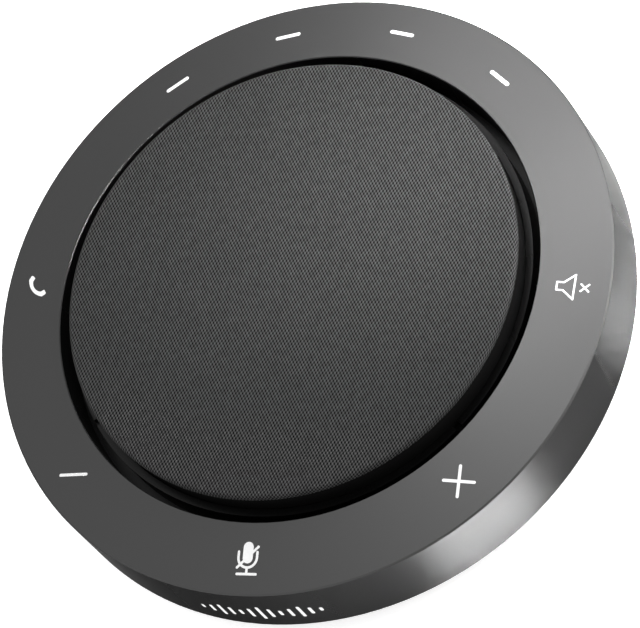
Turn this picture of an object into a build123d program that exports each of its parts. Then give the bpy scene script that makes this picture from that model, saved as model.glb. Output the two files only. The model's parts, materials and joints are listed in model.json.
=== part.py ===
from build123d import *
import os
from math import cos, radians, sin, sqrt

# Conference speakerphone, in millimetres. The origin is the centre of the base where it rests,
# +Z is up, and -Y is the front, where the microphone icon is.

# ---- driving dimensions ----
BODY_R = 65.0  # outside radius of the round body
WALL = 2.0  # thickness of the housing walls
SKIRT_Z = 8.0  # lower edge of the straight side wall
EDGE_Z = 23.3  # upper outer edge of the side wall, where the ring starts
RIM_R = 50.8  # inner radius of the conical control ring
RIM_Z = 26.1  # height of the ring's inner edge
EDGE_BEVEL = 0.3  # small bevel between the side wall and the ring
RIM_BEVEL = 0.2  # small bevel on the ring's inner edge
SKIRT_WALL = 1.5  # thickness of the inner skirt round the groove

ICON_R = 57.9  # radius that the icons sit on
ICON_DEPTH = 0.5  # how deep the icons are let into the ring
LINE = 0.6  # line width of the plus and minus signs
THIN_LINE = 0.36  # line width of the speaker icon

LIP_R_OUT = 48.7  # collar round the puck
LIP_R_IN = 47.2
LIP_Z = 23.8
NOTCH_ANGLE = 52.9  # from the front, on both sides
NOTCH_WIDTH = 1.5
NOTCH_DEPTH = 1.2

PUCK_R = 46.95  # outside radius of the grille frame's wall
FABRIC_R = 47.3
FABRIC_Z_LOW = 28.2  # where the fabric is tucked in
FABRIC_Z_TOP = 29.8
FABRIC_T = 0.7
GRILLE_T = 1.4
GRILLE_HOLE_R = 1.6
GRILLE_HOLE_PITCH = 5.6

FLOOR_Z = 17.0  # top of the chassis plate, which is the floor of the groove
CHASSIS_T = 1.6
CHASSIS_R = 60.5

BASE_Z = 1.2  # underside of the bottom shell, above the table
BASE_FLAT_R = 53.0  # radius where the underside turns up towards the side wall
FOOT_R_OUT = 52.0
FOOT_R_IN = 47.0
FOOT_T = 1.8

TOUCH_BOARD_Z = 19.2
TOUCH_BOARD_T = 1.0
MAIN_BOARD_Z = 8.8
MAIN_BOARD_T = 1.2
MAIN_BOARD_R = 60.0

SEAT_Z = 20.0  # where the driver's flange rests on the chassis
FLANGE_R = 29.0
FLANGE_T = 1.2
CONE_R = 20.4
COIL_R = 8.0  # inside radius of the coil former
FORMER_T = 0.25
YOKE_Z = 5.6
CHAMBER_R = 30.0
CHAMBER_WALL = 1.5
CHAMBER_Z = 3.5

HOUSING_SCREW_ANGLES = (-155.0, -112.5, -22.5, 22.5, 112.5, 155.0)
BOARD_POST_ANGLES = (-128.0, -33.0, 33.0, 128.0)
MIC_ANGLES = (0.0, 90.0, 180.0, -90.0)
BAR_ANGLES = (142.5, 167.5, -167.5, -142.5)
ICON_ANGLES = {"mic": 0.0, "minus": -45.0, "plus": 45.0, "call": -90.0, "speaker": 90.0}

PORT_Z = 11.63  # height of the charging port and the power button
PORT_W = 8.94
PORT_H = 3.26
PORT_DEPTH = 7.3
BUTTON_ANGLE = 163.0  # from the front, so it is beside the port at the back
BUTTON_W = 8.0
BUTTON_H = 3.0

CUT_CLEAR = 1.0  # how far a cutting tool runs past what it cuts

os.makedirs("parts", exist_ok=True)


# ---- helpers ----
def ring_top(radius):
    """Height of the conical ring's top face at a radius."""
    slope = (RIM_Z - EDGE_Z) / (BODY_R - RIM_R)
    return EDGE_Z + (BODY_R - radius) * slope


def around(radius, angle, z=0.0):
    """A point at an angle from the front, turning towards +X."""
    return (radius * sin(radians(angle)), -radius * cos(radians(angle)), z)


def finish_node(node, label):
    """Label a finished node and write its file."""
    node.part.label = label
    export_step(node.part, f"parts/{label}.step")


def turned(*points, mode=Mode.ADD):
    """Revolve a closed outline of (radius, height) points about the vertical axis."""
    with BuildSketch(Plane.XZ) as outline:
        with BuildLine():
            Polyline(*points, close=True)
        make_face()
    revolve(outline.sketch, axis=Axis.Z, mode=mode)


def discs(places, radius, z_low, z_high, mode=Mode.ADD):
    """Upright round bars or holes at the given places."""
    with BuildSketch(Plane.XY.offset(z_low)) as circles:
        with Locations(*[(x, y) for x, y, *_ in places]):
            Circle(radius)
    extrude(circles.sketch, amount=z_high - z_low, mode=mode)


def radial_plane(angle, z):
    """A plane that faces outwards at an angle from the front, with its X axis along the wall."""
    outward = Vector(*around(1.0, angle))
    along = Vector(*around(1.0, angle + 90.0))
    return Plane(origin=(0, 0, z), x_dir=along, z_dir=outward)


# ---- icons: flat drawings, all upright when seen from the front ----
MIC_LINE = 0.5
CRADLE_R = 1.95
CRADLE_Y = 0.28
CRADLE_TOP = 1.35
with BuildSketch() as mic_icon:
    with Locations((0, 1.2)):
        SlotOverall(4.15, 2.1, rotation=90)
    with BuildLine():
        Line((-CRADLE_R, CRADLE_TOP), (-CRADLE_R, CRADLE_Y))
        ThreePointArc((-CRADLE_R, CRADLE_Y), (0, CRADLE_Y - CRADLE_R), (CRADLE_R, CRADLE_Y))
        Line((CRADLE_R, CRADLE_Y), (CRADLE_R, CRADLE_TOP))
    trace(line_width=MIC_LINE)
    with Locations((-CRADLE_R, CRADLE_TOP), (CRADLE_R, CRADLE_TOP)):
        Circle(MIC_LINE / 2)
    with Locations((0, -2.3)):
        Rectangle(MIC_LINE, 1.3)
    with Locations((0, -2.93)):
        SlotOverall(4.5, MIC_LINE)
    with Locations((0, 0.34)):
        SlotOverall(6.3, MIC_LINE, rotation=44.5)

with BuildSketch() as minus_icon:
    SlotOverall(6.6, LINE)

with BuildSketch() as plus_icon:
    SlotOverall(6.6, LINE)
    SlotOverall(6.6, LINE, rotation=90)

with BuildSketch() as call_icon:
    with BuildLine():
        ThreePointArc((-2.15, 1.9), (-0.74, -0.74), (1.9, -2.15))
        Line((1.9, -2.15), (2.9, -1.6))
        Line((2.9, -1.6), (2.15, -0.68))
        Line((2.15, -0.68), (1.4, -1.05))
        ThreePointArc((1.4, -1.05), (-0.25, -0.25), (-1.05, 1.4))
        Line((-1.05, 1.4), (-0.68, 2.15))
        Line((-0.68, 2.15), (-1.6, 2.9))
        Line((-1.6, 2.9), (-2.15, 1.9))
    make_face()
    tips = call_icon.vertices().group_by(Axis.X)[-1] + call_icon.vertices().group_by(Axis.Y)[-1]
    fillet(tips, 0.3)

with BuildSketch() as horn_shape:
    with BuildLine():
        half_horn = Polyline((-3.25, 0), (-3.25, 0.84), (-1.95, 0.84), (0.14, 2.62), (0.14, 0))
        mirror(half_horn, about=Plane.XZ)
    make_face()

with BuildSketch() as speaker_icon:
    offset(horn_shape.sketch, amount=THIN_LINE / 2)
    offset(horn_shape.sketch, amount=-THIN_LINE / 2, mode=Mode.SUBTRACT)
    with Locations((2.18, 0)):
        SlotOverall(2.5, THIN_LINE, rotation=44)
        SlotOverall(2.5, THIN_LINE, rotation=-44)

with BuildSketch() as light_bar:
    SlotOverall(5.4, 0.85)

ICONS = {
    "mic": ("icon_mic_mute", mic_icon.sketch),
    "minus": ("icon_volume_down", minus_icon.sketch),
    "plus": ("icon_volume_up", plus_icon.sketch),
    "call": ("icon_call", call_icon.sketch),
    "speaker": ("icon_speaker_mute", speaker_icon.sketch),
}

# The layer of the ring that the icons fill, and the same layer standing clear above the face
# for cutting their pockets.
with BuildPart() as icon_layer:
    turned(
        (RIM_R, RIM_Z - ICON_DEPTH),
        (RIM_R, RIM_Z),
        (BODY_R, EDGE_Z),
        (BODY_R, EDGE_Z - ICON_DEPTH),
    )

with BuildPart() as pocket_layer:
    turned(
        (RIM_R, RIM_Z - ICON_DEPTH),
        (RIM_R, RIM_Z + CUT_CLEAR),
        (BODY_R, RIM_Z + CUT_CLEAR),
        (BODY_R, EDGE_Z - ICON_DEPTH),
    )


def icon_prism(drawing, angle, layer):
    """An icon's drawing, cut through a layer of the ring."""
    x, y, _ = around(ICON_R, angle)
    with BuildPart(mode=Mode.PRIVATE) as prism:
        with BuildSketch(Plane(origin=(x, y, SKIRT_Z))):
            add(drawing)
        extrude(amount=BODY_R)
        add(layer.part, mode=Mode.INTERSECT)
    return prism.part


for key, (label, drawing) in ICONS.items():
    with BuildPart() as icon:
        add(icon_prism(drawing, ICON_ANGLES[key], icon_layer))
    finish_node(icon, label)

# ---- light bars: each runs through the roof into a wider block over its light ----
BAR_BLOCK = (6.6, 3.0)
BAR_BLOCK_Z_LOW = TOUCH_BOARD_Z + TOUCH_BOARD_T + 0.9
BAR_BLOCK_Z_HIGH = 22.3

with BuildPart() as under_ring_face:
    turned((RIM_R, SKIRT_Z), (RIM_R, RIM_Z), (BODY_R, EDGE_Z), (BODY_R, SKIRT_Z))

with BuildPart() as light_bars:
    for angle in BAR_ANGLES:
        x, y, _ = around(ICON_R, angle)
        with BuildSketch(Plane(origin=(x, y, BAR_BLOCK_Z_HIGH)).rotated((0, 0, angle))):
            add(light_bar.sketch)
        extrude(amount=RIM_Z)
    add(under_ring_face.part, mode=Mode.INTERSECT)
    for angle in BAR_ANGLES:
        x, y, _ = around(ICON_R, angle)
        with BuildSketch(Plane(origin=(x, y, BAR_BLOCK_Z_LOW)).rotated((0, 0, angle))):
            RectangleRounded(*BAR_BLOCK, 0.5)
        extrude(amount=BAR_BLOCK_Z_HIGH - BAR_BLOCK_Z_LOW)
finish_node(light_bars, "light_bars")

# ---- generic mark on the front of the side wall: a row of sound-level bars ----
MARK_DEPTH = 0.15
MARK_Z = 14.2
MARK_BAR_W = 0.7
MARK_PITCH_DEG = 1.85
MARK_HEIGHTS = (1.6, 3.0, 5.0, 3.6, 2.2, 4.0, 6.0, 4.0, 2.2, 3.6, 5.0, 3.0, 1.6)

with BuildPart() as wall_skin:
    turned(
        (BODY_R - MARK_DEPTH, SKIRT_Z),
        (BODY_R - MARK_DEPTH, EDGE_Z - 1),
        (BODY_R, EDGE_Z - 1),
        (BODY_R, SKIRT_Z),
    )

with BuildPart() as mark_prisms:
    for place, height in enumerate(MARK_HEIGHTS):
        angle = (place - (len(MARK_HEIGHTS) - 1) / 2) * MARK_PITCH_DEG
        with BuildSketch(radial_plane(angle, MARK_Z).offset(BODY_R - 1)):
            SlotOverall(height, MARK_BAR_W, rotation=90)
        extrude(amount=2)

with BuildPart() as front_mark:
    add(mark_prisms.part)
    add(wall_skin.part, mode=Mode.INTERSECT)
finish_node(front_mark, "front_mark")

with BuildPart() as mark_pocket:
    add(mark_prisms.part)
    with BuildSketch(Plane.XY.offset(SKIRT_Z)):
        Circle(BODY_R - MARK_DEPTH)
    extrude(amount=EDGE_Z, mode=Mode.SUBTRACT)

# ---- top housing: conical ring, side wall and inner skirt in one piece ----
roof_under_rim = ring_top(RIM_R + SKIRT_WALL) - WALL
roof_under_wall = ring_top(BODY_R - WALL) - WALL
BOSS_R = 3.0
POST_R = 1.8
PILOT_R = 1.15
POST_PILOT_R = 0.8
MIC_PORT_R = 0.5
MIC_Z = 18.2
housing_screw_places = [around(57.5, angle) for angle in HOUSING_SCREW_ANGLES]
post_places = [around(57.5, angle) for angle in BOARD_POST_ANGLES]
roof_z = ring_top(60.5) - WALL + 0.3

with BuildPart() as top_housing:
    turned(
        (BODY_R, SKIRT_Z),
        (BODY_R, EDGE_Z - EDGE_BEVEL),
        (BODY_R - EDGE_BEVEL, ring_top(BODY_R - EDGE_BEVEL)),
        (RIM_R + RIM_BEVEL, ring_top(RIM_R + RIM_BEVEL)),
        (RIM_R, RIM_Z - RIM_BEVEL),
        (RIM_R, FLOOR_Z),
        (RIM_R + SKIRT_WALL, FLOOR_Z),
        (RIM_R + SKIRT_WALL, roof_under_rim),
        (BODY_R - WALL, roof_under_wall),
        (BODY_R - WALL, SKIRT_Z),
    )
    discs(housing_screw_places, BOSS_R, FLOOR_Z, roof_z)
    discs(post_places, POST_R, TOUCH_BOARD_Z + TOUCH_BOARD_T, roof_z)
    discs(housing_screw_places, PILOT_R, FLOOR_Z, FLOOR_Z + 4.6, mode=Mode.SUBTRACT)
    discs(post_places, POST_PILOT_R, TOUCH_BOARD_Z + TOUCH_BOARD_T, TOUCH_BOARD_Z + 2.8, mode=Mode.SUBTRACT)
    for key, (label, drawing) in ICONS.items():
        add(icon_prism(drawing, ICON_ANGLES[key], pocket_layer), mode=Mode.SUBTRACT)
    for angle in BAR_ANGLES:
        x, y, _ = around(ICON_R, angle)
        with BuildSketch(Plane(origin=(x, y, BAR_BLOCK_Z_HIGH - CUT_CLEAR)).rotated((0, 0, angle))):
            add(light_bar.sketch)
        extrude(amount=RIM_Z, mode=Mode.SUBTRACT)
    add(mark_pocket.part, mode=Mode.SUBTRACT)
    for angle in MIC_ANGLES:
        with BuildSketch(radial_plane(angle, MIC_Z).offset(RIM_R - CUT_CLEAR)):
            Circle(MIC_PORT_R)
        extrude(amount=SKIRT_WALL + 2 * CUT_CLEAR, mode=Mode.SUBTRACT)
    with BuildSketch(radial_plane(180, PORT_Z).offset(BODY_R - 3 * WALL)):
        SlotOverall(PORT_W + 0.7, PORT_H + 0.7)
    extrude(amount=4 * WALL, mode=Mode.SUBTRACT)
    with BuildSketch(radial_plane(BUTTON_ANGLE, PORT_Z).offset(BODY_R - 3 * WALL)):
        SlotOverall(BUTTON_W + 0.5, BUTTON_H + 0.5)
    extrude(amount=4 * WALL, mode=Mode.SUBTRACT)
finish_node(top_housing, "top_housing")

# ---- chassis: groove floor, collar round the puck and seat for the driver ----
CHASSIS_Z = FLOOR_Z - CHASSIS_T
SEAT_R_IN = 27.4
SEAT_R_OUT = 35.0
LEG_W = 6.0
LEG_R_IN = 45.4
LEG_T = 1.4
LEG_ANGLES = (0.0, 90.0, 180.0, 270.0)
SCREW_BOSS_R = 3.2
BOSS_LOW_Z = 5.2
FLEX_X = -12.0
FLEX_W = 6.0
FLEX_Y = 53.6
bottom_screw_places = [around(43.0, angle) for angle in (45, 135, 225, 315)]
chamber_screw_places = [around(32.8, angle) for angle in (30, 150, 210, 330)]
driver_screw_places = [around(31.2, angle) for angle in (45, 135, 225, 315)]

with BuildPart() as chassis:
    turned(
        (SEAT_R_IN, CHASSIS_Z),
        (SEAT_R_IN, SEAT_Z),
        (SEAT_R_OUT, SEAT_Z),
        (SEAT_R_OUT, FLOOR_Z),
        (LIP_R_IN, FLOOR_Z),
        (LIP_R_IN, LIP_Z),
        (LIP_R_OUT, LIP_Z),
        (LIP_R_OUT, FLOOR_Z),
        (CHASSIS_R, FLOOR_Z),
        (CHASSIS_R, CHASSIS_Z),
    )
    discs(bottom_screw_places, SCREW_BOSS_R, BOSS_LOW_Z, CHASSIS_Z)
    discs(bottom_screw_places, PILOT_R, BOSS_LOW_Z, BOSS_LOW_Z + 7.5, mode=Mode.SUBTRACT)
    discs(housing_screw_places, 1.4, CHASSIS_Z, FLOOR_Z, mode=Mode.SUBTRACT)
    discs(chamber_screw_places, 1.0, CHASSIS_Z, CHASSIS_Z + 3.8, mode=Mode.SUBTRACT)
    discs(driver_screw_places, 1.0, SEAT_Z - 3.4, SEAT_Z, mode=Mode.SUBTRACT)
    for angle in LEG_ANGLES:
        with BuildSketch(radial_plane(angle, CHASSIS_Z + CHASSIS_T / 2).offset(LEG_R_IN - 0.2)):
            Rectangle(LEG_W + 0.4, CHASSIS_T)
        extrude(amount=LEG_T + 0.4, mode=Mode.SUBTRACT)
    for angle in (-NOTCH_ANGLE, NOTCH_ANGLE):
        with BuildSketch(radial_plane(angle, LIP_Z).offset(LIP_R_IN - CUT_CLEAR)):
            Rectangle(NOTCH_WIDTH, 2 * NOTCH_DEPTH)
        extrude(amount=LIP_R_OUT - LIP_R_IN + 2 * CUT_CLEAR, mode=Mode.SUBTRACT)
    with BuildSketch(Plane.XY.offset(CHASSIS_Z)):
        with Locations((FLEX_X, FLEX_Y)):
            Rectangle(FLEX_W + 2, 1.8)
    extrude(amount=CHASSIS_T, mode=Mode.SUBTRACT)
finish_node(chassis, "chassis")

# ---- puck: perforated frame with a wall and four snap legs, and the fabric stretched over it ----
PUCK_WALL = 1.75
GRILLE_Z_HIGH = FABRIC_Z_TOP - FABRIC_T
GRILLE_Z_LOW = GRILLE_Z_HIGH - GRILLE_T
LEG_Z_LOW = CHASSIS_Z - 1.1
GRILLE_RINGS = 7

with BuildPart() as grille_frame:
    turned(
        (PUCK_R - PUCK_WALL, FLOOR_Z),
        (PUCK_R - PUCK_WALL, GRILLE_Z_LOW),
        (0, GRILLE_Z_LOW),
        (0, GRILLE_Z_HIGH),
        (FABRIC_R - FABRIC_T, GRILLE_Z_HIGH),
        (FABRIC_R - FABRIC_T, FABRIC_Z_LOW),
        (PUCK_R, FABRIC_Z_LOW),
        (PUCK_R, FLOOR_Z),
    )
    for angle in LEG_ANGLES:
        with BuildSketch(radial_plane(angle, (LEG_Z_LOW + FLOOR_Z) / 2).offset(LEG_R_IN)):
            Rectangle(LEG_W, FLOOR_Z - LEG_Z_LOW)
        extrude(amount=LEG_T)
        with BuildSketch(radial_plane(angle, CHASSIS_Z - 0.6).offset(LEG_R_IN)):
            Rectangle(LEG_W, 1.0)
        extrude(amount=LEG_T + 0.8)
    with BuildSketch(Plane.XY.offset(GRILLE_Z_LOW)):
        Circle(GRILLE_HOLE_R)
        for ring in range(1, GRILLE_RINGS + 1):
            with PolarLocations(ring * GRILLE_HOLE_PITCH, 6 * ring):
                Circle(GRILLE_HOLE_R)
    extrude(amount=GRILLE_T, mode=Mode.SUBTRACT)
finish_node(grille_frame, "grille_frame")

with BuildPart() as fabric_cover:
    turned(
        (0, GRILLE_Z_HIGH),
        (0, FABRIC_Z_TOP),
        (FABRIC_R, FABRIC_Z_TOP),
        (FABRIC_R, FABRIC_Z_LOW),
        (FABRIC_R - FABRIC_T, FABRIC_Z_LOW),
        (FABRIC_R - FABRIC_T, GRILLE_Z_HIGH),
    )
    fillet(fabric_cover.edges().group_by(Axis.Z)[-1], FABRIC_T * 0.9)
finish_node(fabric_cover, "fabric_cover")

# ---- touch board and what is on it ----
PAD_R_OUT = 4.5
PAD_R_IN = 3.0
PAD_Z_HIGH = 21.6
LED_SIZE = (1.6, 0.8)
LED_T = 0.6
TOUCH_BOARD_TOP = TOUCH_BOARD_Z + TOUCH_BOARD_T
icon_places = [around(ICON_R, angle) for angle in ICON_ANGLES.values()]

with BuildPart() as touch_board:
    with BuildSketch(Plane.XY.offset(TOUCH_BOARD_Z)):
        Circle(62.4)
        Circle(53.0, mode=Mode.SUBTRACT)
        with Locations(*[(x, y) for x, y, _ in housing_screw_places]):
            Circle(BOSS_R + 0.3, mode=Mode.SUBTRACT)
        with Locations(*[(x, y) for x, y, _ in post_places]):
            Circle(0.95, mode=Mode.SUBTRACT)
    extrude(amount=TOUCH_BOARD_T)
finish_node(touch_board, "touch_board")

with BuildPart() as touch_pads:
    discs(icon_places, PAD_R_OUT, TOUCH_BOARD_TOP, PAD_Z_HIGH)
    discs(icon_places, PAD_R_IN, TOUCH_BOARD_TOP, PAD_Z_HIGH, mode=Mode.SUBTRACT)
finish_node(touch_pads, "touch_pads")

with BuildPart() as status_leds:
    for angle in (*ICON_ANGLES.values(), *BAR_ANGLES):
        x, y, _ = around(ICON_R, angle)
        with BuildSketch(Plane(origin=(x, y, TOUCH_BOARD_TOP)).rotated((0, 0, angle))):
            Rectangle(*LED_SIZE)
        extrude(amount=LED_T)
finish_node(status_leds, "status_leds")

MIC_R = 54.5
with BuildPart() as microphones:
    for angle in MIC_ANGLES:
        with BuildSketch(radial_plane(angle, TOUCH_BOARD_Z - 0.9).offset(MIC_R)):
            Rectangle(3.5, 1.8)
        extrude(amount=1.0)
finish_node(microphones, "microphones")

with BuildPart() as mic_boots:
    for angle in MIC_ANGLES:
        with BuildSketch(radial_plane(angle, MIC_Z).offset(MIC_R - 2.0)):
            RectangleRounded(4.4, 1.9, 0.4)
            Circle(MIC_PORT_R + 0.1, mode=Mode.SUBTRACT)
        extrude(amount=2.0)
finish_node(mic_boots, "mic_boots")


def screws(places, head, shank, seat_z, up=True):
    """Pan-head screws: head and shank are (radius, length), and the head bears on seat_z."""
    way = 1 if up else -1
    head_r, head_h = head
    shank_r, shank_l = shank
    discs(places, head_r, seat_z, seat_z - way * head_h)
    discs(places, shank_r, seat_z, seat_z + way * shank_l)


def screw_recess(places, head_r, face_z, depth):
    """Cross recess in the heads, opening at face_z and running depth along Z."""
    with BuildSketch(Plane.XY.offset(face_z)) as cross:
        with Locations(*[(x, y) for x, y, _ in places]):
            Rectangle(head_r * 1.2, head_r * 0.28)
            Rectangle(head_r * 0.28, head_r * 1.2)
    extrude(cross.sketch, amount=depth, mode=Mode.SUBTRACT)


with BuildPart() as touch_board_screws:
    screws(post_places, (1.6, 1.0), (0.75, 2.6), TOUCH_BOARD_Z)
    screw_recess(post_places, 1.6, TOUCH_BOARD_Z - 1.0, 0.5)
finish_node(touch_board_screws, "touch_board_screws")

with BuildPart() as chassis_screws:
    screws(housing_screw_places, (2.2, 1.5), (1.1, 5.9), CHASSIS_Z)
    screw_recess(housing_screw_places, 2.2, CHASSIS_Z - 1.5, 0.8)
finish_node(chassis_screws, "chassis_screws")

# ---- driver: motor, basket and moving cone ----
YOKE_TOP_Z = YOKE_Z + 5.6
MAGNET_Z = YOKE_Z + 1.6
PLATE_Z = MAGNET_Z + 2.4
LIP_CENTRE_Z = SEAT_Z + FLANGE_T + 0.2
SPIDER_Z = 13.55

with BuildPart() as pot_yoke:
    turned(
        (0, YOKE_Z),
        (13.3, YOKE_Z),
        (13.3, PLATE_Z),
        (12.5, PLATE_Z),
        (12.5, YOKE_TOP_Z),
        (9.35, YOKE_TOP_Z),
        (9.35, MAGNET_Z),
        (0, MAGNET_Z),
    )
finish_node(pot_yoke, "pot_yoke")

with BuildPart() as magnet:
    discs([(0, 0)], 7.4, MAGNET_Z, PLATE_Z)
finish_node(magnet, "magnet")

with BuildPart() as top_plate:
    discs([(0, 0)], 7.7, PLATE_Z, YOKE_TOP_Z)
finish_node(top_plate, "top_plate")

with BuildPart() as speaker_basket:
    turned(
        (12.5, PLATE_Z),
        (16.6, PLATE_Z),
        (24.0, SEAT_Z),
        (FLANGE_R, SEAT_Z),
        (FLANGE_R, SEAT_Z + FLANGE_T),
        (22.9, SEAT_Z + FLANGE_T),
        (17.9, 13.4),
        (15.9, 13.4),
        (14.9, 10.8),
        (12.5, 10.8),
    )
    discs(driver_screw_places, 2.8, SEAT_Z, SEAT_Z + FLANGE_T)
    for angle in range(30, 390, 60):
        with BuildSketch(radial_plane(angle, 16.8).offset(16.0)):
            RectangleRounded(8.0, 4.6, 1.0)
        extrude(amount=11.0, mode=Mode.SUBTRACT)
    discs(driver_screw_places, 1.15, SEAT_Z, SEAT_Z + FLANGE_T, mode=Mode.SUBTRACT)
finish_node(speaker_basket, "speaker_basket")

with BuildPart() as surround:
    with BuildSketch(Plane.XZ):
        with BuildLine():
            Line((19.0, LIP_CENTRE_Z), (CONE_R, LIP_CENTRE_Z))
            ThreePointArc((CONE_R, LIP_CENTRE_Z), (22.7, LIP_CENTRE_Z + 2.3), (25.0, LIP_CENTRE_Z))
            Line((25.0, LIP_CENTRE_Z), (28.8, LIP_CENTRE_Z))
        trace(line_width=0.4)
    revolve(axis=Axis.Z)
finish_node(surround, "surround")

with BuildPart() as speaker_gasket:
    turned(
        (25.5, LIP_CENTRE_Z + 0.2),
        (28.8, LIP_CENTRE_Z + 0.2),
        (28.8, LIP_CENTRE_Z + 2.0),
        (25.5, LIP_CENTRE_Z + 2.0),
    )
finish_node(speaker_gasket, "speaker_gasket")

with BuildPart() as cone:
    turned(
        (COIL_R + FORMER_T, 14.6),
        (19.0, 20.8),
        (CONE_R, 20.8),
        (CONE_R, 21.2),
        (18.8, 21.2),
        (COIL_R + FORMER_T, 15.1),
    )
finish_node(cone, "cone")

DOME_R = 9.4
DOME_BASE_Z = 15.83
DOME_H = 2.2
DOME_T = 0.35


def dome_height(base_r, rise, radius):
    """Height above its base of a shallow dome at a radius."""
    ball = (base_r**2 + rise**2) / (2 * rise)
    return rise - ball + sqrt(ball**2 - radius**2)


with BuildPart() as dust_cap:
    with BuildSketch(Plane.XZ):
        with BuildLine():
            outer_mid = DOME_BASE_Z + dome_height(DOME_R, DOME_H, DOME_R / 2)
            inner_r = DOME_R - DOME_T
            inner_mid = DOME_BASE_Z + dome_height(inner_r, DOME_H - DOME_T, inner_r / 2)
            outer_top = DOME_BASE_Z + DOME_H
            inner_top = outer_top - DOME_T
            ThreePointArc((DOME_R, DOME_BASE_Z), (DOME_R / 2, outer_mid), (0, outer_top))
            Line((0, outer_top), (0, inner_top))
            ThreePointArc((0, inner_top), (inner_r / 2, inner_mid), (inner_r, DOME_BASE_Z))
            Line((inner_r, DOME_BASE_Z), (DOME_R, DOME_BASE_Z))
        make_face()
    revolve(axis=Axis.Z)
finish_node(dust_cap, "dust_cap")

with BuildPart() as coil_former:
    turned((COIL_R, 8.5), (COIL_R + FORMER_T, 8.5), (COIL_R + FORMER_T, 15.1), (COIL_R, 15.1))
finish_node(coil_former, "coil_former")

with BuildPart() as coil_winding:
    turned((COIL_R + FORMER_T, 8.6), (8.8, 8.6), (8.8, 12.2), (COIL_R + FORMER_T, 12.2))
finish_node(coil_winding, "coil_winding")

SPIDER_WAVES = 9
WAVE_R_IN = 9.2
WAVE_R_OUT = 15.9
WAVE_HEIGHT = 0.35
with BuildPart() as spider:
    with BuildSketch(Plane.XZ):
        with BuildLine():
            step = (WAVE_R_OUT - WAVE_R_IN) / (SPIDER_WAVES + 1)
            waves = [
                (WAVE_R_IN + step * (place + 1), SPIDER_Z + WAVE_HEIGHT * (-1) ** place)
                for place in range(SPIDER_WAVES)
            ]
            Polyline(
                (COIL_R + FORMER_T, SPIDER_Z),
                (WAVE_R_IN, SPIDER_Z),
                *waves,
                (WAVE_R_OUT, SPIDER_Z),
                (WAVE_R_OUT + 1.8, SPIDER_Z),
            )
        trace(line_width=0.3)
    revolve(axis=Axis.Z)
finish_node(spider, "spider")

TAB_X = 1.6
WIRE_R = 0.5
with BuildPart() as terminal_strip:
    with BuildSketch(Plane.XY.offset(15.6)):
        with Locations((0, 25.4)):
            Rectangle(9.0, 1.6)
    extrude(amount=SEAT_Z - 15.6)
finish_node(terminal_strip, "terminal_strip")

with BuildPart() as solder_tabs:
    with BuildSketch(Plane.XY.offset(12.5)):
        with Locations((-TAB_X, 24.35), (TAB_X, 24.35)):
            Rectangle(1.6, 0.5)
    extrude(amount=5.0)
finish_node(solder_tabs, "solder_tabs")

with BuildPart() as driver_screws:
    screws(driver_screw_places, (1.9, 1.2), (0.95, 4.4), SEAT_Z + FLANGE_T, up=False)
    screw_recess(driver_screw_places, 1.9, SEAT_Z + FLANGE_T + 0.6, 0.6)
finish_node(driver_screws, "driver_screws")

# ---- closed rear chamber of the driver ----
CHAMBER_FLANGE_T = 1.5
WIRE_Z = 10.9
with BuildPart() as speaker_chamber:
    turned(
        (0, CHAMBER_Z),
        (CHAMBER_R, CHAMBER_Z),
        (CHAMBER_R, CHASSIS_Z - CHAMBER_FLANGE_T),
        (35.4, CHASSIS_Z - CHAMBER_FLANGE_T),
        (35.4, CHASSIS_Z),
        (CHAMBER_R - CHAMBER_WALL, CHASSIS_Z),
        (CHAMBER_R - CHAMBER_WALL, CHAMBER_Z + 1.2),
        (0, CHAMBER_Z + 1.2),
    )
    discs(chamber_screw_places, 1.15, CHASSIS_Z - CHAMBER_FLANGE_T, CHASSIS_Z, mode=Mode.SUBTRACT)
    with BuildSketch(Plane.XZ.offset(-CHAMBER_R - CUT_CLEAR)):
        with Locations((-TAB_X, WIRE_Z), (TAB_X, WIRE_Z)):
            Circle(WIRE_R + 0.2)
    extrude(amount=CHAMBER_WALL + 2 * CUT_CLEAR, mode=Mode.SUBTRACT)
finish_node(speaker_chamber, "speaker_chamber")

with BuildPart() as chamber_screws:
    screws(chamber_screw_places, (1.8, 1.2), (0.95, 5.0), CHASSIS_Z - CHAMBER_FLANGE_T)
    screw_recess(chamber_screw_places, 1.8, CHASSIS_Z - CHAMBER_FLANGE_T - 1.2, 0.6)
finish_node(chamber_screws, "chamber_screws")

# ---- main board and what is on it ----
BOARD_TOP = MAIN_BOARD_Z + MAIN_BOARD_T
board_screw_places = [(-42.0, 32.0, 0), (-22.0, 48.0, 0), (22.0, 48.0, 0), (42.0, 32.0, 0)]
rear_boss_places = [place for place in bottom_screw_places if place[1] > 0]

with BuildPart() as main_board:
    with BuildSketch(Plane.XY.offset(MAIN_BOARD_Z)):
        Circle(MAIN_BOARD_R)
        with Locations((0, 27.5)):
            Rectangle(2 * MAIN_BOARD_R, MAIN_BOARD_R, align=(Align.CENTER, Align.MIN), mode=Mode.INTERSECT)
        Circle(36.2, mode=Mode.SUBTRACT)
        with Locations(*[(x, y) for x, y, _ in rear_boss_places]):
            Circle(SCREW_BOSS_R + 1.0, mode=Mode.SUBTRACT)
        with Locations(*[(x, y) for x, y, _ in board_screw_places]):
            Circle(1.15, mode=Mode.SUBTRACT)
    extrude(amount=MAIN_BOARD_T)
finish_node(main_board, "main_board")


def board_boxes(boxes, radius=0.2):
    """Boxes on the main board, each (x, y, width, depth, height)."""
    for x, y, width, depth, height in boxes:
        with BuildSketch(Plane(origin=(x, y, BOARD_TOP))) as footprint:
            RectangleRounded(width, depth, radius)
        extrude(footprint.sketch, amount=height)


with BuildPart() as shield_can:
    board_boxes([(4.0, 48.5, 18.0, 12.0, 2.2)], radius=0.8)
finish_node(shield_can, "shield_can")

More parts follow.
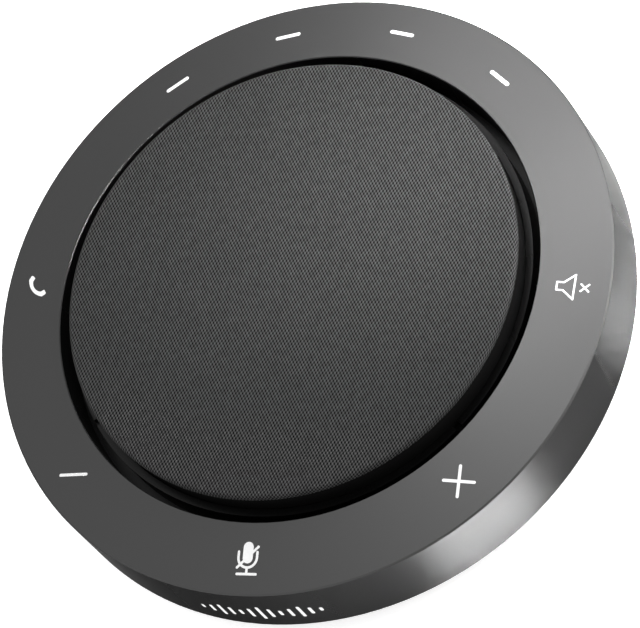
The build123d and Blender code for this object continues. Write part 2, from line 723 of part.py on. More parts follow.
with BuildPart() as radio_module:
    board_boxes([(-31.0, 42.5, 12.0, 9.0, 1.8)], radius=0.4)
finish_node(radio_module, "radio_module")

with BuildPart() as board_chips:
    board_boxes([(24.0, 40.5, 7.0, 7.0, 1.0), (33.5, 42.0, 5.0, 5.0, 1.2), (-21.0, 40.0, 4.0, 4.0, 1.6)])
    board_boxes([(14.5, 40.0, 3.0, 1.6, 1.4), (-43.0, 37.5, 5.0, 2.5, 1.2), (41.5, 38.5, 3.0, 3.0, 1.6)])
finish_node(board_chips, "board_chips")

BATTERY_LEAD_X = (36.6, 38.0)
LEAD_Z = 11.2
with BuildPart() as board_connectors:
    board_boxes([(0, 38.9, 6.0, 4.0, 2.4), (37.3, 31.3, 4.8, 4.0, 2.4), (-37.3, 31.3, 4.8, 4.0, 2.4)])
    board_boxes([(FLEX_X, 48.5, FLEX_W + 1.0, 4.0, 2.0)])
finish_node(board_connectors, "board_connectors")

with BuildPart() as touch_connector:
    with BuildSketch(Plane.XY.offset(TOUCH_BOARD_Z - 1.6)):
        with Locations((FLEX_X, 56.0)):
            Rectangle(FLEX_W + 1.0, 3.0)
    extrude(amount=1.6)
finish_node(touch_connector, "touch_connector")

with BuildPart() as touch_flex:
    with BuildSketch(Plane.YZ.offset(FLEX_X - FLEX_W / 2)):
        with BuildLine():
            FilletPolyline(
                (54.5, TOUCH_BOARD_Z - 0.8),
                (FLEX_Y, TOUCH_BOARD_Z - 0.8),
                (FLEX_Y, BOARD_TOP + 1.0),
                (50.5, BOARD_TOP + 1.0),
                radius=0.7,
            )
        trace(line_width=0.2)
    extrude(amount=FLEX_W)
finish_node(touch_flex, "touch_flex")

with BuildPart() as speaker_leads:
    for x in (-TAB_X, TAB_X):
        with BuildLine(Plane.YZ.offset(x)) as lead_path:
            FilletPolyline((24.35, 12.5), (24.35, WIRE_Z), (36.9, WIRE_Z), radius=1.2)
        with BuildSketch(Plane(origin=(x, 24.35, 12.5), z_dir=(0, 0, -1))):
            Circle(WIRE_R)
        sweep(path=lead_path.wire())
finish_node(speaker_leads, "speaker_leads")

with BuildPart() as board_screws:
    screws(board_screw_places, (1.9, 1.2), (0.95, 5.2), BOARD_TOP, up=False)
    screw_recess(board_screw_places, 1.9, BOARD_TOP + 0.6, 0.6)
finish_node(board_screws, "board_screws")

# ---- batteries on foam pads, with their leads ----
BATTERY = (18.0, 50.0, 8.0)
BATTERY_X = 40.5
BATTERY_Z = 5.4
PAD_T = 0.2

with BuildPart() as battery_packs:
    with BuildSketch(Plane.XY.offset(BATTERY_Z)):
        with Locations((-BATTERY_X, 0), (BATTERY_X, 0)):
            RectangleRounded(BATTERY[0], BATTERY[1], 2.0)
    extrude(amount=BATTERY[2])
    fillet(battery_packs.edges().group_by(Axis.Z)[-1], 1.0)
finish_node(battery_packs, "battery_packs")

with BuildPart() as battery_pads:
    with BuildSketch(Plane.XY.offset(BATTERY_Z - PAD_T)):
        with Locations((-BATTERY_X, 0), (BATTERY_X, 0)):
            Rectangle(14.0, 44.0)
    extrude(amount=PAD_T)
finish_node(battery_pads, "battery_pads")

with BuildPart() as battery_leads:
    with BuildSketch(Plane.XZ.offset(-BATTERY[1] / 2)):
        with Locations(*[(side * x, LEAD_Z) for side in (-1, 1) for x in BATTERY_LEAD_X]):
            Circle(WIRE_R)
    extrude(amount=-(29.3 - BATTERY[1] / 2))
finish_node(battery_leads, "battery_leads")

# ---- charging port ----
PORT_R_OUT = BODY_R - 0.4
PORT_SHEET = 0.3
with BuildPart() as usb_c_shell:
    with BuildSketch(radial_plane(180, PORT_Z).offset(PORT_R_OUT - PORT_DEPTH)):
        SlotOverall(PORT_W, PORT_H)
    extrude(amount=PORT_DEPTH)
    with BuildSketch(radial_plane(180, PORT_Z).offset(PORT_R_OUT - PORT_DEPTH + 0.5)):
        SlotOverall(PORT_W - 2 * PORT_SHEET, PORT_H - 2 * PORT_SHEET)
    extrude(amount=PORT_DEPTH, mode=Mode.SUBTRACT)
finish_node(usb_c_shell, "usb_c_shell")

with BuildPart() as usb_c_tongue:
    with BuildSketch(radial_plane(180, PORT_Z).offset(PORT_R_OUT - PORT_DEPTH + 0.5)):
        RectangleRounded(6.7, 0.7, 0.2)
    extrude(amount=PORT_DEPTH - 1.5)
finish_node(usb_c_tongue, "usb_c_tongue")

# ---- power button and its side switch ----
BUTTON_FLANGE_R = 61.4
BUTTON_FLANGE_T = 0.9
BUTTON_PROUD = 0.45
SWITCH_R_OUT = 60.0
with BuildPart() as power_button:
    with BuildSketch(radial_plane(BUTTON_ANGLE, PORT_Z).offset(BUTTON_FLANGE_R)):
        SlotOverall(BUTTON_W, BUTTON_H)
    extrude(amount=BODY_R + BUTTON_PROUD - BUTTON_FLANGE_R)
    outward = Axis((0, 0, 0), around(1.0, BUTTON_ANGLE))
    fillet(power_button.edges().group_by(outward)[-1], 0.3)
    with BuildSketch(radial_plane(BUTTON_ANGLE, PORT_Z).offset(BUTTON_FLANGE_R)):
        SlotOverall(BUTTON_W + 2.4, BUTTON_H + 1.8)
    extrude(amount=BUTTON_FLANGE_T)
finish_node(power_button, "power_button")

with BuildPart() as switch_plunger:
    with BuildSketch(radial_plane(BUTTON_ANGLE, PORT_Z).offset(SWITCH_R_OUT - 1.0)):
        SlotOverall(2.6, 1.2)
    extrude(amount=BUTTON_FLANGE_R - SWITCH_R_OUT + 1.0)
finish_node(switch_plunger, "switch_plunger")

with BuildPart() as side_switch:
    with BuildSketch(radial_plane(BUTTON_ANGLE, PORT_Z).offset(SWITCH_R_OUT - 3.2)):
        Rectangle(6.0, 2 * (PORT_Z - BOARD_TOP))
    extrude(amount=3.2)
    with BuildSketch(radial_plane(BUTTON_ANGLE, PORT_Z).offset(SWITCH_R_OUT - 1.6)):
        SlotOverall(3.0, 1.6)
    extrude(amount=1.6, mode=Mode.SUBTRACT)
finish_node(side_switch, "side_switch")

# ---- bottom shell, foot ring, label and bottom screws ----
TONGUE_R_OUT = 62.8
TONGUE_R_IN = 61.0
TONGUE_Z = 10.5
FOOT_GROOVE = 0.6
LABEL = (34.0, 20.0)
LABEL_T = 0.15
LABEL_RECESS = 0.2
FLOOR_IN_Z = BASE_Z + WALL
COUNTERBORE_Z = 3.6

with BuildPart() as bottom_shell:
    turned(
        (0, BASE_Z),
        (BASE_FLAT_R, BASE_Z),
        (BODY_R, SKIRT_Z),
        (TONGUE_R_OUT, SKIRT_Z),
        (TONGUE_R_OUT, TONGUE_Z),
        (TONGUE_R_IN, TONGUE_Z),
        (TONGUE_R_IN, 8.6),
        (51.6, FLOOR_IN_Z),
        (0, FLOOR_IN_Z),
    )
    discs(bottom_screw_places, 3.8, FLOOR_IN_Z, BOSS_LOW_Z)
    discs(board_screw_places, 2.6, FLOOR_IN_Z, MAIN_BOARD_Z)
    with BuildSketch(Plane.XY.offset(FLOOR_IN_Z)):
        with Locations(*[(side * x, 0) for side in (-1, 1) for x in (36.0, 45.0)]):
            Rectangle(1.5, 44.0)
    extrude(amount=BATTERY_Z - PAD_T - FLOOR_IN_Z)
    turned(
        (FOOT_R_IN - 0.1, BASE_Z),
        (FOOT_R_IN - 0.1, BASE_Z + FOOT_GROOVE),
        (FOOT_R_OUT + 0.1, BASE_Z + FOOT_GROOVE),
        (FOOT_R_OUT + 0.1, BASE_Z),
        mode=Mode.SUBTRACT,
    )
    with BuildSketch(Plane.XY.offset(BASE_Z)):
        RectangleRounded(LABEL[0] + 0.4, LABEL[1] + 0.4, 2.2)
    extrude(amount=LABEL_RECESS, mode=Mode.SUBTRACT)
    discs(bottom_screw_places, 2.6, BASE_Z, COUNTERBORE_Z, mode=Mode.SUBTRACT)
    discs(bottom_screw_places, 1.4, COUNTERBORE_Z, BOSS_LOW_Z, mode=Mode.SUBTRACT)
    discs(board_screw_places, 1.0, 4.4, MAIN_BOARD_Z, mode=Mode.SUBTRACT)
    for angle, width in ((180, PORT_W + 3.0), (BUTTON_ANGLE, BUTTON_W + 5.0)):
        with BuildSketch(radial_plane(angle, SKIRT_Z + 2.0).offset(58.0)):
            Rectangle(width, 4.0)
        extrude(amount=6.5, mode=Mode.SUBTRACT)
finish_node(bottom_shell, "bottom_shell")

with BuildPart() as foot_ring:
    turned((FOOT_R_IN, 0), (FOOT_R_OUT, 0), (FOOT_R_OUT, FOOT_T), (FOOT_R_IN, FOOT_T))
    fillet(foot_ring.edges().group_by(Axis.Z)[0], 0.5)
finish_node(foot_ring, "foot_ring")

with BuildPart() as rating_label:
    with BuildSketch(Plane.XY.offset(BASE_Z + LABEL_RECESS - LABEL_T)):
        RectangleRounded(*LABEL, 2.0)
    extrude(amount=LABEL_T)
finish_node(rating_label, "rating_label")

with BuildPart() as bottom_screws:
    screws(bottom_screw_places, (2.3, 1.6), (1.1, 8.2), COUNTERBORE_Z)
    screw_recess(bottom_screw_places, 2.3, COUNTERBORE_Z - 1.6, 0.9)
finish_node(bottom_screws, "bottom_screws")
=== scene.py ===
import json
from math import cos, pi, radians, sin

import bmesh
import bpy
from mathutils import Matrix, Vector


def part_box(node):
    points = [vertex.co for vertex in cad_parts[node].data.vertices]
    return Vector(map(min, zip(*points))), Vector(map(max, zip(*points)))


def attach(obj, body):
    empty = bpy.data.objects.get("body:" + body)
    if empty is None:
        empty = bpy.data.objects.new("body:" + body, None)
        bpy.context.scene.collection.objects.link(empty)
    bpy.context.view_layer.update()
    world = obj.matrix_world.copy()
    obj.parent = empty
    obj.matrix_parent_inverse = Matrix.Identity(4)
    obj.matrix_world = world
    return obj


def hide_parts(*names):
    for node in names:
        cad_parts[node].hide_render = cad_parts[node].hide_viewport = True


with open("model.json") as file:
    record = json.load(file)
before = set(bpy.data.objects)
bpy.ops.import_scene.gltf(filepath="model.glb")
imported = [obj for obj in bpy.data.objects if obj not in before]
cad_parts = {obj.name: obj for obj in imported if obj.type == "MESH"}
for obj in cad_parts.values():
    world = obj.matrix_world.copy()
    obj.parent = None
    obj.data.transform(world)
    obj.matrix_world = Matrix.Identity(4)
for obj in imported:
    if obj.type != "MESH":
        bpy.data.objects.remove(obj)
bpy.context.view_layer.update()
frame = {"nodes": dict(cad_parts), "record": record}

# Conference speakerphone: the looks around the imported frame. Everything is in metres, with +Z up,
# the front at -Y, and the object's base on the floor at z = 0.

NODES = frame["nodes"]
MM = 0.001

# ---- camera ----
VIEW_AZIMUTH = 45.44
VIEW_ELEVATION = 56.60
VIEW_ROLL = -40.20
VIEW_DISTANCE = 0.8917
VIEW_AIM = Vector((0.00513, -0.00517, 0.0233))
LENS = 254.25
SENSOR_WIDTH = 36.0


def add_camera():
    """The camera, looking down at the front right of the object with its horizon tilted."""
    azimuth, elevation, roll = (radians(x) for x in (VIEW_AZIMUTH, VIEW_ELEVATION, VIEW_ROLL))
    right = Vector((cos(azimuth), sin(azimuth), 0))
    up = Vector((-sin(azimuth) * sin(elevation), cos(azimuth) * sin(elevation), cos(elevation)))
    back = right.cross(up)
    x_axis = cos(roll) * right + sin(roll) * up
    y_axis = cos(roll) * up - sin(roll) * right
    data = bpy.data.cameras.new("camera")
    data.lens = LENS
    data.sensor_width = SENSOR_WIDTH
    data.clip_start = 0.01
    camera = bpy.data.objects.new("camera", data)
    axes = Matrix((x_axis, y_axis, back)).transposed().to_4x4()
    camera.matrix_world = Matrix.Translation(VIEW_AIM + VIEW_DISTANCE * back) @ axes
    bpy.context.collection.objects.link(camera)
    bpy.context.scene.camera = camera


add_camera()


# ---- stage: floor, world and lights ----
FLOOR_SIZE = 6.0
FLOOR_WHITE = (0.92, 0.92, 0.92, 1)
FLOOR_GLOW = 0.45
WORLD_STRENGTH = 1.22
RIM_AZIMUTH = 138  # middle of the bright band, from the front and turning towards +X
RIM_STRENGTH = 8.0
RIM_SIDE = (0.62, 0.90)  # share of a direction towards RIM_AZIMUTH where the band starts, and is full
RIM_HEIGHT = (0.58, 0.38)  # height of a direction where the band ends, and is full


def add_floor():
    """A plain pale floor."""
    mesh = bpy.data.meshes.new("floor")
    half = FLOOR_SIZE / 2
    corners = [(-half, -half, 0), (half, -half, 0), (half, half, 0), (-half, half, 0)]
    mesh.from_pydata(corners, [], [(0, 1, 2, 3)])
    floor = bpy.data.objects.new("floor", mesh)
    bpy.context.collection.objects.link(floor)
    material = bpy.data.materials.new("floor_paint")
    material.use_nodes = True
    shader = material.node_tree.nodes["Principled BSDF"]
    shader.inputs["Base Color"].default_value = FLOOR_WHITE
    shader.inputs["Roughness"].default_value = 0.9
    shader.inputs["Specular IOR Level"].default_value = 0.0
    shader.inputs["Emission Color"].default_value = (1, 1, 1, 1)
    shader.inputs["Emission Strength"].default_value = FLOOR_GLOW
    mesh.materials.append(material)


def add_world():
    """An even pale surround with a brighter band low at the back right."""
    world = bpy.data.worlds.new("surround")
    world.use_nodes = True
    nodes, links = world.node_tree.nodes, world.node_tree.links
    side = nodes.new("ShaderNodeVectorMath")
    side.operation = "DOT_PRODUCT"
    side.inputs[1].default_value = (sin(radians(RIM_AZIMUTH)), -cos(radians(RIM_AZIMUTH)), 0)
    place = nodes.new("ShaderNodeTexCoord")
    height = nodes.new("ShaderNodeSeparateXYZ")
    links.new(place.outputs["Generated"], side.inputs[0])
    links.new(place.outputs["Generated"], height.inputs[0])
    around = nodes.new("ShaderNodeMapRange")
    around.interpolation_type = "SMOOTHSTEP"
    links.new(side.outputs["Value"], around.inputs["Value"])
    around.inputs["From Min"].default_value = RIM_SIDE[0]
    around.inputs["From Max"].default_value = RIM_SIDE[1]
    low = nodes.new("ShaderNodeMapRange")
    low.interpolation_type = "SMOOTHSTEP"
    links.new(height.outputs["Z"], low.inputs["Value"])
    low.inputs["From Min"].default_value = RIM_HEIGHT[0]
    low.inputs["From Max"].default_value = RIM_HEIGHT[1]
    band = nodes.new("ShaderNodeMath")
    band.operation = "MULTIPLY"
    links.new(around.outputs["Result"], band.inputs[0])
    links.new(low.outputs["Result"], band.inputs[1])
    strength = nodes.new("ShaderNodeMath")
    strength.operation = "MULTIPLY_ADD"
    links.new(band.outputs[0], strength.inputs[0])
    strength.inputs[1].default_value = RIM_STRENGTH
    strength.inputs[2].default_value = WORLD_STRENGTH
    background = nodes["Background"]
    background.inputs["Color"].default_value = (1, 1, 1, 1)
    links.new(strength.outputs[0], background.inputs["Strength"])
    bpy.context.scene.world = world


def add_softbox(name, azimuth, elevation, distance, size, power, spread=180.0, aim=(0, 0, 0.015)):
    """A rectangular soft light. Its azimuth is measured from the front, turning towards +X."""
    a, e = radians(azimuth), radians(elevation)
    aim = Vector(aim)
    place = aim + distance * Vector((sin(a) * cos(e), -cos(a) * cos(e), sin(e)))
    data = bpy.data.lights.new(name, "AREA")
    data.shape = "RECTANGLE"
    data.size, data.size_y = size
    data.energy = power
    data.spread = radians(spread)
    light = bpy.data.objects.new(name, data)
    light.location = place
    light.rotation_euler = (place - aim).to_track_quat("Z", "Y").to_euler()
    light.visible_camera = False
    bpy.context.collection.objects.link(light)


add_floor()
add_world()
# The two spots light the floor beside the base, where the side wall mirrors it as two soft streaks.
# The brightness of the streaks doesn't follow the spots' power evenly, so check a render after changing it.
add_softbox("key_high", 184, 72, 0.45, size=(0.14, 0.14), power=0.85, aim=(0, 0, 0.025))
add_softbox("key_low", 186, 38, 0.45, size=(0.14, 0.14), power=0.49, aim=(0, 0, 0.025))
add_softbox("back_fill", 140, 38, 0.15, size=(0.06, 0.04), power=0.038, spread=100, aim=(0, 0, 0.03))
add_softbox("cloth_light", 100, 46, 0.40, size=(0.07, 0.07), power=0.080, spread=14, aim=(0.033, 0.033, 0.03))
add_softbox("front_spot", 43.5, 78, 0.25, size=(0.026, 0.014), power=0.15, spread=5, aim=(0.0574, -0.0605, 0))
add_softbox("right_spot", 108, 69, 0.25, size=(0.048, 0.014), power=0.57, spread=5, aim=(0.0742, 0.0241, 0))
bpy.context.scene.view_settings.view_transform = "Standard"


# ---- shader building ----
class Graph:
    """A material's nodes, with short calls for the ones used here."""

    def __init__(self, name):
        self.material = bpy.data.materials.new(name)
        self.material.use_nodes = True
        self.tree = self.material.node_tree
        self.shader = self.tree.nodes["Principled BSDF"]

    def node(self, kind, inputs=(), **settings):
        """A node of this kind. inputs maps socket names or numbers to values or to other sockets."""
        made = self.tree.nodes.new(kind)
        for key, value in settings.items():
            setattr(made, key, value)
        for key, value in dict(inputs).items():
            if isinstance(value, bpy.types.NodeSocket):
                self.tree.links.new(value, made.inputs[key])
            else:
                made.inputs[key].default_value = value
        return made

    def set(self, **inputs):
        """Sets or links the shader's own sockets; a socket's name is written with underscores."""
        for key, value in inputs.items():
            socket = self.shader.inputs[key.replace("_", " ")]
            if isinstance(value, bpy.types.NodeSocket):
                self.tree.links.new(value, socket)
            else:
                socket.default_value = value
        return self

    def place(self):
        """The point on the object, in metres."""
        return self.node("ShaderNodeTexCoord").outputs["Object"]

    def math(self, operation, a, b=0.0, c=0.0):
        return self.node("ShaderNodeMath", {0: a, 1: b, 2: c}, operation=operation).outputs[0]

    def noise(self, scale, detail=2.0, rough=0.5, vector=None):
        """Noise of the given scale, in waves per metre."""
        inputs = {"Vector": vector or self.place(), "Scale": scale, "Detail": detail, "Roughness": rough}
        return self.node("ShaderNodeTexNoise", inputs).outputs["Fac"]

    def stretch(self, value, low, high):
        """A value from 0 to 1 moved to the range low to high."""
        inputs = {"Value": value, "To Min": low, "To Max": high}
        return self.node("ShaderNodeMapRange", inputs).outputs["Result"]

    def blend(self, share, first, second):
        """A colour between two others, as share goes from 0 to 1."""
        made = self.node("ShaderNodeMix", {"Factor": share}, data_type="RGBA")
        for socket, value in (("A_Color", first), ("B_Color", second)):
            target = next(s for s in made.inputs if s.identifier == socket)
            if isinstance(value, bpy.types.NodeSocket):
                self.tree.links.new(value, target)
            else:
                target.default_value = value
        return next(s for s in made.outputs if s.identifier == "Result_Color")

    def relief(self, height, depth):
        """Bump from a height of 0 to 1 that stands for depth metres."""
        inputs = {"Height": height, "Distance": depth, "Strength": 1.0}
        self.set(Normal=self.node("ShaderNodeBump", inputs).outputs["Normal"])
        return self


def grey(value):
    """A neutral colour."""
    return (value, value, value, 1.0)


def shade(colour, factor):
    """A colour made lighter or darker."""
    return tuple(min(1.0, channel * factor) for channel in colour[:3]) + (1.0,)


GRAIN = 1 / 0.00035  # waves per metre of spark grain
MOTTLE = 0.08


def moulded(name, colour, roughness, depth=0.000006, **extra):
    """A moulded plastic or rubber: fine spark grain, slight mottling and slightly uneven gloss."""
    g = Graph(name)
    broad = g.noise(55.0, detail=3.0)
    fine = g.noise(GRAIN, detail=3.0, rough=0.6)
    g.set(Base_Color=g.blend(broad, shade(colour, 1 - MOTTLE), shade(colour, 1 + MOTTLE)))
    g.set(Roughness=g.stretch(broad, roughness - 0.03, roughness + 0.03), **extra)
    g.relief(fine, depth)
    return g.material


def metal(name, colour, roughness, brush=(1, 1, 1)):
    """A metal surface with fine marks, drawn out along the axes where brush is small."""
    g = Graph(name)
    stretched = g.node("ShaderNodeVectorMath", {0: g.place(), 1: brush}, operation="MULTIPLY").outputs[0]
    marks = g.noise(4000.0, detail=4.0, rough=0.65, vector=stretched)
    broad = g.noise(120.0, detail=2.0)
    g.set(Metallic=1.0, Base_Color=g.blend(broad, shade(colour, 0.92), shade(colour, 1.05)))
    g.set(Roughness=g.stretch(marks, roughness - 0.06, roughness + 0.08))
    g.relief(marks, 0.000003)
    return g.material


HOUSING_COLOUR = grey(0.055)
HOUSING_ROUGHNESS = 0.42
HOUSING_EDGE_TINT = grey(0.19)  # how bright the coating is at a grazing angle


def housing_paint(name):
    """Satin grey coating with fine metallic flake."""
    g = Graph(name)
    flake = g.noise(9000.0, detail=2.0, rough=0.7)
    broad = g.noise(18.0, detail=2.0)
    dark, light = shade(HOUSING_COLOUR, 0.94), shade(HOUSING_COLOUR, 1.06)
    g.set(Base_Color=g.blend(flake, dark, light), Specular_Tint=HOUSING_EDGE_TINT, Metallic=1.0)
    g.set(Roughness=g.stretch(broad, HOUSING_ROUGHNESS - 0.01, HOUSING_ROUGHNESS + 0.01))
    g.relief(flake, 0.0000008)
    return g.material


# The cloth is a plain weave: fine warp threads along Y and broader weft threads along X.
WARP_PITCH = 0.367 * MM
WEFT_PITCH = 0.562 * MM
THREAD_SWAY = 0.12 * MM  # how far threads wander sideways


def weave(name, light, dark, top_z):
    """Woven cloth, laid flat on top and carried round the edge without stretching its pattern."""
    g = Graph(name)
    split = g.node("ShaderNodeSeparateXYZ", {0: g.place()})
    x, y, z = split.outputs
    radius = g.math("SQRT", g.math("ADD", g.math("MULTIPLY", x, x), g.math("MULTIPLY", y, y)))
    drop = g.math("MAXIMUM", g.math("SUBTRACT", top_z, z), 0.0)
    carried = g.math("ADD", 1.0, g.math("DIVIDE", drop, g.math("MAXIMUM", radius, 0.001)))
    sway = g.math("MULTIPLY", g.math("SUBTRACT", g.noise(500.0, detail=2.0), 0.5), THREAD_SWAY)
    drift = g.math("MULTIPLY", g.math("SUBTRACT", g.noise(390.0, detail=2.0), 0.5), THREAD_SWAY)
    across = g.math("ADD", g.math("MULTIPLY", x, carried), sway)
    along = g.math("ADD", g.math("MULTIPLY", y, carried), drift)
    warp = g.math("COSINE", g.math("MULTIPLY", across, pi / WARP_PITCH))
    weft = g.math("COSINE", g.math("MULTIPLY", along, pi / WEFT_PITCH))
    crossing = g.math("MULTIPLY", warp, weft)
    fibre = g.noise(6000.0, detail=3.0, rough=0.7)
    slub = g.noise(700.0, detail=2.0)
    # The thread crowns are painted lighter and the gaps between threads near black, following the same height
    # as the bump: a painted highlight on the crowns and painted shade between the threads. The slub noise
    # varies the threads' tone at random.
    raised = g.math("MULTIPLY_ADD", crossing, 0.6, 0.42)
    slub_and_painted_crown_light = g.math("MULTIPLY", g.math("MAXIMUM", raised, 0.0), g.stretch(slub, 0.6, 1.4))
    colour = g.blend(g.math("MINIMUM", slub_and_painted_crown_light, 1.0), dark, light)
    shaded = g.blend(fibre, grey(0.75), grey(1.2))
    mixed = g.node("ShaderNodeMix", {"Factor": 1.0}, data_type="RGBA", blend_type="MULTIPLY")
    for key, value in (("A_Color", colour), ("B_Color", shaded)):
        g.tree.links.new(value, next(s for s in mixed.inputs if s.identifier == key))
    g.set(Base_Color=next(s for s in mixed.outputs if s.identifier == "Result_Color"))
    g.set(Roughness=0.9, Specular_IOR_Level=0.04)
    height = g.math("ADD", crossing, g.math("MULTIPLY", fibre, 0.3))
    g.relief(height, 0.00003)
    return g.material


def glowing_white(name, glow):
    """Bright translucent white, faintly lit from behind."""
    g = Graph(name)
    cloud = g.noise(900.0, detail=2.0)
    g.set(Base_Color=g.blend(cloud, grey(0.44), grey(0.50)), Roughness=0.35)
    g.set(Emission_Color=(1, 1, 1, 1), Emission_Strength=glow)
    return g.material


def circuit_board(name):
    """Green solder mask over copper tracks."""
    g = Graph(name)
    tracks = g.node("ShaderNodeTexBrick", {"Vector": g.place(), "Scale": 260.0, "Mortar Size": 0.04})
    tone = g.blend(tracks.outputs["Fac"], (0.01, 0.075, 0.03, 1), (0.02, 0.14, 0.055, 1))
    g.set(Base_Color=tone, Roughness=0.35, Coat_Weight=0.3)
    g.relief(g.noise(2500.0), 0.000005)
    return g.material


def banded(name, colour, pitch, depth, metallic=0.0, roughness=0.5):
    """Bands across the height, as on a wound coil or a wrapped foil."""
    g = Graph(name)
    split = g.node("ShaderNodeSeparateXYZ", {0: g.place()})
    wave = g.math("SINE", g.math("MULTIPLY", split.outputs["Z"], 2 * pi / pitch))
    height = g.stretch(g.math("MULTIPLY", wave, 0.5), 0.25, 1.0)
    # The colour is darkened where the bump is low, in the grooves between the bands: painted shade.
    g.set(Base_Color=g.blend(height, shade(colour, 0.7), colour), Metallic=metallic, Roughness=roughness)
    g.relief(height, depth)
    return g.material


def cloth(name, colour, pitch, depth):
    """Pressed or dipped cloth with a fine fibre pattern."""
    g = Graph(name)
    cells = g.node("ShaderNodeTexVoronoi", {"Vector": g.place(), "Scale": 1 / pitch})
    fibre = g.noise(3 / pitch, detail=4.0, rough=0.7)
    g.set(Base_Color=g.blend(fibre, shade(colour, 0.7), shade(colour, 1.25)), Roughness=0.9)
    g.set(Sheen_Weight=0.1)
    g.relief(g.math("ADD", cells.outputs["Distance"], fibre), depth)
    return g.material


# ---- the record's finishes ----
FABRIC_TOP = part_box("fabric_cover")[1][2]
FINISHES = {
    "housing_grey": housing_paint("housing_grey"),
    "icon_white": glowing_white("icon_white", 0.05),
    "light_pipe": glowing_white("light_pipe", 0.05),
    "mark_grey": moulded("mark_grey", grey(0.62), 0.4),
    "chassis_black": moulded("chassis_black", grey(0.001), 0.28, Specular_IOR_Level=0.17),
    "puck_black": moulded("puck_black", grey(0.003), 0.75, Specular_IOR_Level=0.02),
    # The fabric's two greys are the painted highlight on the thread crowns and the painted shade between the
    # threads.
    "fabric": weave("fabric", grey(0.046), grey(0.001), FABRIC_TOP),
    "circuit_board": circuit_board("circuit_board"),
    "conductive_foam": moulded("conductive_foam", grey(0.05), 0.9, depth=0.00003),
    "led": glowing_white("led", 0.2),
    "plated_can": metal("plated_can", (0.6, 0.6, 0.58, 1), 0.3),
    "rubber_black": moulded("rubber_black", grey(0.02), 0.7),
    "screw_steel": metal("screw_steel", grey(0.55), 0.35),
    "plated_steel": metal("plated_steel", grey(0.48), 0.35),
    "magnet_nickel": metal("magnet_nickel", grey(0.6), 0.18),
    "basket_steel": moulded("basket_steel", grey(0.02), 0.45),
    "rubber_surround": moulded("rubber_surround", grey(0.018), 0.6),
    "foam_black": moulded("foam_black", grey(0.03), 0.95, depth=0.00003),
    "paper_cone": cloth("paper_cone", grey(0.035), 0.0006, 0.00003),
    "paper_cap": cloth("paper_cap", grey(0.03), 0.0006, 0.00002),
    "former_foil": metal("former_foil", grey(0.75), 0.3, brush=(1, 1, 0.1)),
    "copper_wire": banded("copper_wire", (0.72, 0.38, 0.2, 1), 0.0002, 0.00004, metallic=1.0, roughness=0.3),
    "spider_cloth": cloth("spider_cloth", (0.55, 0.42, 0.2, 1), 0.0004, 0.00004),
    "phenolic": moulded("phenolic", (0.2, 0.11, 0.05, 1), 0.5),
    "brass_tab": metal("brass_tab", (0.75, 0.6, 0.3, 1), 0.35),
    "chamber_plastic": moulded("chamber_plastic", grey(0.02), 0.45),
    "chip_black": moulded("chip_black", grey(0.015), 0.4),
    "connector_white": moulded("connector_white", (0.75, 0.74, 0.68, 1), 0.45),
    "flex_amber": moulded("flex_amber", (0.5, 0.25, 0.05, 1), 0.35),
    "wire_red": moulded("wire_red", (0.4, 0.02, 0.02, 1), 0.5),
    "battery_wrap": moulded("battery_wrap", (0.1, 0.16, 0.3, 1), 0.35),
    "port_black": moulded("port_black", grey(0.01), 0.4),
    "button_grey": housing_paint("button_grey"),
    "switch_white": moulded("switch_white", grey(0.7), 0.4),
    "base_plastic": moulded("base_plastic", grey(0.02), 0.5, depth=0.00001),
    "rubber_foot": moulded("rubber_foot", grey(0.03), 0.75, depth=0.00001),
    "label_grey": moulded("label_grey", grey(0.25), 0.6),
    "screw_black": metal("screw_black", grey(0.03), 0.4),
}


def finish_nodes():
    """Gives every CAD node the finish of its material slot."""
    for subpart in frame["record"]["subparts"]:
        mesh = NODES[subpart["node"]].data
        mesh.materials.clear()
        mesh.materials.append(FINISHES[subpart["material_slot"]])


finish_nodes()


# ---- cloth over the puck ----
CLOTH_SEGMENTS = 360
CLOTH_THICKNESS = 0.7 * MM
CLOTH_EDGE = 0.63 * MM  # radius of the rounded upper edge
CLOTH_BACK_BEVEL = 0.2 * MM
CLOTH_ARC_STEPS = 8


def revolve(name, outline, segments, material):
    """A closed mesh turned about the vertical axis from (radius, height) points that start and end on it."""
    bm = bmesh.new()
    rings = []
    for radius, height in outline:
        if radius == 0:
            rings.append([bm.verts.new((0, 0, height))])
            continue
        turns = [2 * pi * step / segments for step in range(segments)]
        rings.append([bm.verts.new((radius * cos(t), radius * sin(t), height)) for t in turns])
    for first, second in zip(rings, rings[1:]):
        for step in range(segments):
            after = (step + 1) % segments
            if len(first) == 1:
                bm.faces.new((first[0], second[after], second[step]))
            elif len(second) == 1:
                bm.faces.new((first[step], first[after], second[0]))
            else:
                bm.faces.new((first[step], first[after], second[after], second[step]))
    bmesh.ops.recalc_face_normals(bm, faces=bm.faces)
    mesh = bpy.data.meshes.new(name)
    bm.to_mesh(mesh)
    bm.free()
    mesh.shade_smooth()
    mesh.materials.append(material)
    piece = bpy.data.objects.new(name, mesh)
    bpy.context.collection.objects.link(piece)
    return piece


def arc(centre, radius, start, end, steps):
    """Points along a round stretch, with its angles in degrees."""
    angles = [radians(start + (end - start) * step / steps) for step in range(steps + 1)]
    return [(centre[0] + radius * cos(a), centre[1] + radius * sin(a)) for a in angles]


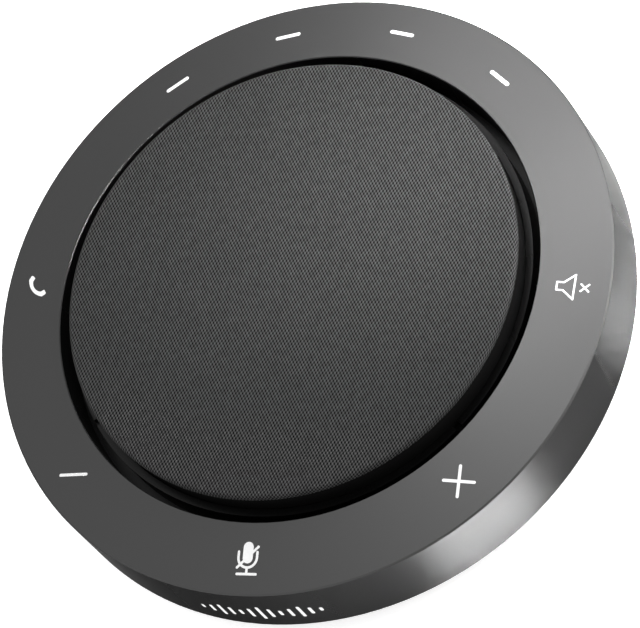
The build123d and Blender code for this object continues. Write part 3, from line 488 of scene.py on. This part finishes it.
def add_cloth():
    """The woven cover: flat on the grille, round at the edge, and tucked in at its lower end."""
    low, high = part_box("fabric_cover")
    radius, top, bottom = high[0], high[2], low[2]
    inner = radius - CLOTH_THICKNESS
    turn = arc((radius - CLOTH_EDGE, top - CLOTH_EDGE), CLOTH_EDGE, 90, 0, CLOTH_ARC_STEPS)
    half = CLOTH_THICKNESS / 2
    hem = arc((radius - half, bottom + half), half, 0, -180, CLOTH_ARC_STEPS)
    flat_rings = [(radius * share, top) for share in (0.25, 0.5, 0.75, 0.95)]
    under = top - CLOTH_THICKNESS
    back = [(inner, under - CLOTH_BACK_BEVEL), (inner - CLOTH_BACK_BEVEL, under), (0, under)]
    outline = [(0, top), *flat_rings, *turn, *hem, *back]
    piece = revolve("cloth_cover", outline, CLOTH_SEGMENTS, FINISHES["fabric"])
    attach(piece, "housing")
    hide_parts("fabric_cover")


add_cloth()


# ---- contacts on both faces of the port's tongue ----
CONTACT_COUNT = 12
CONTACT_PITCH = 0.5 * MM
CONTACT_SIZE = Vector((0.28, 3.2, 0.04)) * MM
CONTACT_SETBACK = 0.35 * MM
CONTACT_BEVEL = 0.015 * MM


def add_contacts():
    """Two rows of gilt contacts, let onto the tongue's upper and lower faces."""
    low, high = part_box("usb_c_tongue")
    bm = bmesh.new()
    for z in (low[2], high[2]):
        for place in range(CONTACT_COUNT):
            x = (place - (CONTACT_COUNT - 1) / 2) * CONTACT_PITCH
            centre = Vector((x, high[1] - CONTACT_SETBACK - CONTACT_SIZE.y / 2, z))
            where = Matrix.Translation(centre) @ Matrix.Diagonal(CONTACT_SIZE).to_4x4()
            bmesh.ops.create_cube(bm, size=1.0, matrix=where)
    bmesh.ops.bevel(bm, geom=bm.edges[:], offset=CONTACT_BEVEL, segments=2, affect="EDGES")
    mesh = bpy.data.meshes.new("port_contacts")
    bm.to_mesh(mesh)
    bm.free()
    mesh.materials.append(FINISHES["brass_tab"])
    piece = bpy.data.objects.new("port_contacts", mesh)
    bpy.context.collection.objects.link(piece)
    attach(piece, "housing")


add_contacts()
